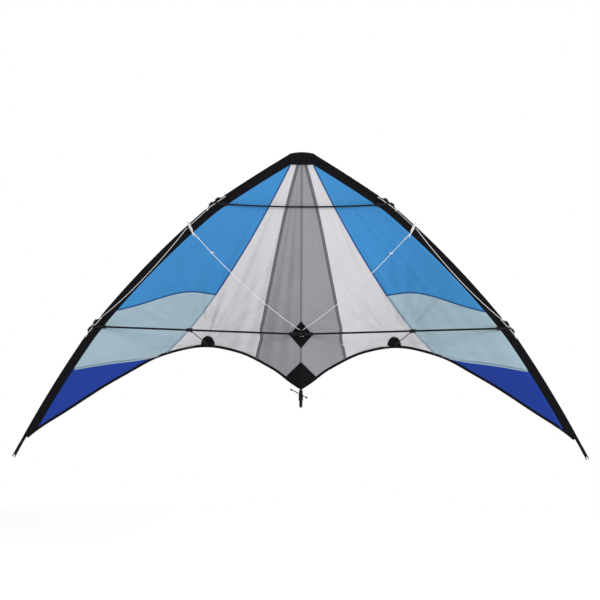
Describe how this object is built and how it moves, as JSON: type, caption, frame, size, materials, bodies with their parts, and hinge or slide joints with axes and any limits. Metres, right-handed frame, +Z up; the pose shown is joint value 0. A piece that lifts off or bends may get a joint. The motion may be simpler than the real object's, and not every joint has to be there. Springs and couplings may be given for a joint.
{
  "type": "delta stunt kite",
  "caption": "Framed delta stunt kite with a panelled sail, bowed leading edges, spreaders, stand-offs and a three-leg bridle on each side; the wings flex, stand-offs and tow points swing.",
  "frame": {"origin": "centre fitting: where the lower spreaders cross the spine, on the line that the wings flex about", "axes": "+X along the span to the flyer's right, +Z up the spine to the nose, -Y towards the flyer; the sail bellies back to +Y"},
  "size_m": [1.6004, 0.4356, 0.8501],
  "materials": {
    "grey_ripstop": "ripstop weave, soft sheen",
    "white_ripstop": "ripstop weave, soft sheen",
    "blue_ripstop": "ripstop weave, soft sheen",
    "light_blue_ripstop": "ripstop weave, soft sheen",
    "deep_blue_ripstop": "ripstop weave, soft sheen",
    "sleeve_cloth": "woven polyester, matt",
    "black_cloth": "woven polyester, matt",
    "webbing": "heavy woven webbing",
    "carbon": "pultruded carbon rod, satin",
    "ferrule": "glass fibre rod",
    "fitting": "moulded vinyl, satin",
    "nock": "moulded plastic, satin",
    "bridle_line": "braided polyester line",
    "tie_line": "braided elastic line"
  },
  "bodies": {
    "root": {"spine": "carbon", "centre_hub": "fitting", "nose_webbing": "webbing", "centre_patch": "black_cloth", "tail_patch": "black_cloth", "tail_nock": "nock", "tail_tie": "tie_line", "upper_spreader": "carbon"},
    "right_wing": {"right_upper_spar": "carbon", "right_lower_spar": "carbon", "right_spar_ferrule": "ferrule", "right_leading_edge_sleeve": "sleeve_cloth", "right_upper_connector": "fitting", "right_lower_connector": "fitting", "right_connector_stops": "fitting", "right_tip_nock": "nock", "right_tip_tie": "tie_line", "right_trailing_hem": "black_cloth", "right_spreader_arm": "fitting", "right_lower_spreader": "carbon", "right_bridle_hitches": "bridle_line", "right_standoff_cup": "fitting", "right_standoff_patch": "black_cloth", "right_grey_panel": "grey_ripstop", "right_white_panel": "white_ripstop", "right_blue_panel": "blue_ripstop", "right_light_blue_panel": "light_blue_ripstop", "right_deep_blue_panel": "deep_blue_ripstop", "right_bridle_inner_leg": "bridle_line"},
    "right_standoff": {"right_standoff_clip": "fitting", "right_standoff_rod": "carbon"},
    "right_tow": {"right_bridle_upper_leg": "bridle_line", "right_bridle_outer_leg": "bridle_line", "right_tow_knot": "bridle_line"},
    "left_wing": {"left_upper_spar": "carbon", "left_lower_spar": "carbon", "left_spar_ferrule": "ferrule", "left_leading_edge_sleeve": "sleeve_cloth", "left_upper_connector": "fitting", "left_lower_connector": "fitting", "left_connector_stops": "fitting", "left_tip_nock": "nock", "left_tip_tie": "tie_line", "left_trailing_hem": "black_cloth", "left_spreader_arm": "fitting", "left_lower_spreader": "carbon", "left_bridle_hitches": "bridle_line", "left_standoff_cup": "fitting", "left_standoff_patch": "black_cloth", "left_grey_panel": "grey_ripstop", "left_white_panel": "white_ripstop", "left_blue_panel": "blue_ripstop", "left_light_blue_panel": "light_blue_ripstop", "left_deep_blue_panel": "deep_blue_ripstop", "left_bridle_inner_leg": "bridle_line"},
    "left_standoff": {"left_standoff_clip": "fitting", "left_standoff_rod": "carbon"},
    "left_tow": {"left_bridle_upper_leg": "bridle_line", "left_bridle_outer_leg": "bridle_line", "left_tow_knot": "bridle_line"}
  },
  "joints": [
    {"name": "right_wing_flex", "type": "hinge", "parent": "root", "child": "right_wing", "pos_m": [0, 0, 0], "axis": [0, 0, 1], "range_deg": [-5, 15], "stiffness_Nm_per_rad": 8, "deforming": ["upper_spreader", "nose_webbing", "centre_patch", "tail_patch"]},
    {"name": "right_standoff_swing", "type": "hinge", "parent": "right_wing", "child": "right_standoff", "pos_m": [0.309, -0.006, 0.01038], "axis": [-0.9994, 0, -0.0336], "range_deg": [0, 75]},
    {"name": "right_tow_swing", "type": "hinge", "parent": "right_wing", "child": "right_tow", "pos_m": [0.26186, -0.0049, 0.34486], "axis": [0.6974, 0, -0.7167], "range_deg": [0, 70], "deforming": ["right_bridle_inner_leg"]},
    {"name": "left_wing_flex", "type": "hinge", "parent": "root", "child": "left_wing", "pos_m": [0, 0, 0], "axis": [0, 0, -1], "range_deg": [-5, 15], "stiffness_Nm_per_rad": 8, "deforming": ["upper_spreader", "nose_webbing", "centre_patch", "tail_patch"]},
    {"name": "left_standoff_swing", "type": "hinge", "parent": "left_wing", "child": "left_standoff", "pos_m": [-0.309, -0.006, 0.01038], "axis": [-0.9994, 0, 0.0336], "range_deg": [0, 75]},
    {"name": "left_tow_swing", "type": "hinge", "parent": "left_wing", "child": "left_tow", "pos_m": [-0.26186, -0.0049, 0.34486], "axis": [0.6974, 0, 0.7167], "range_deg": [0, 70], "deforming": ["left_bridle_inner_leg"]}
  ]
}
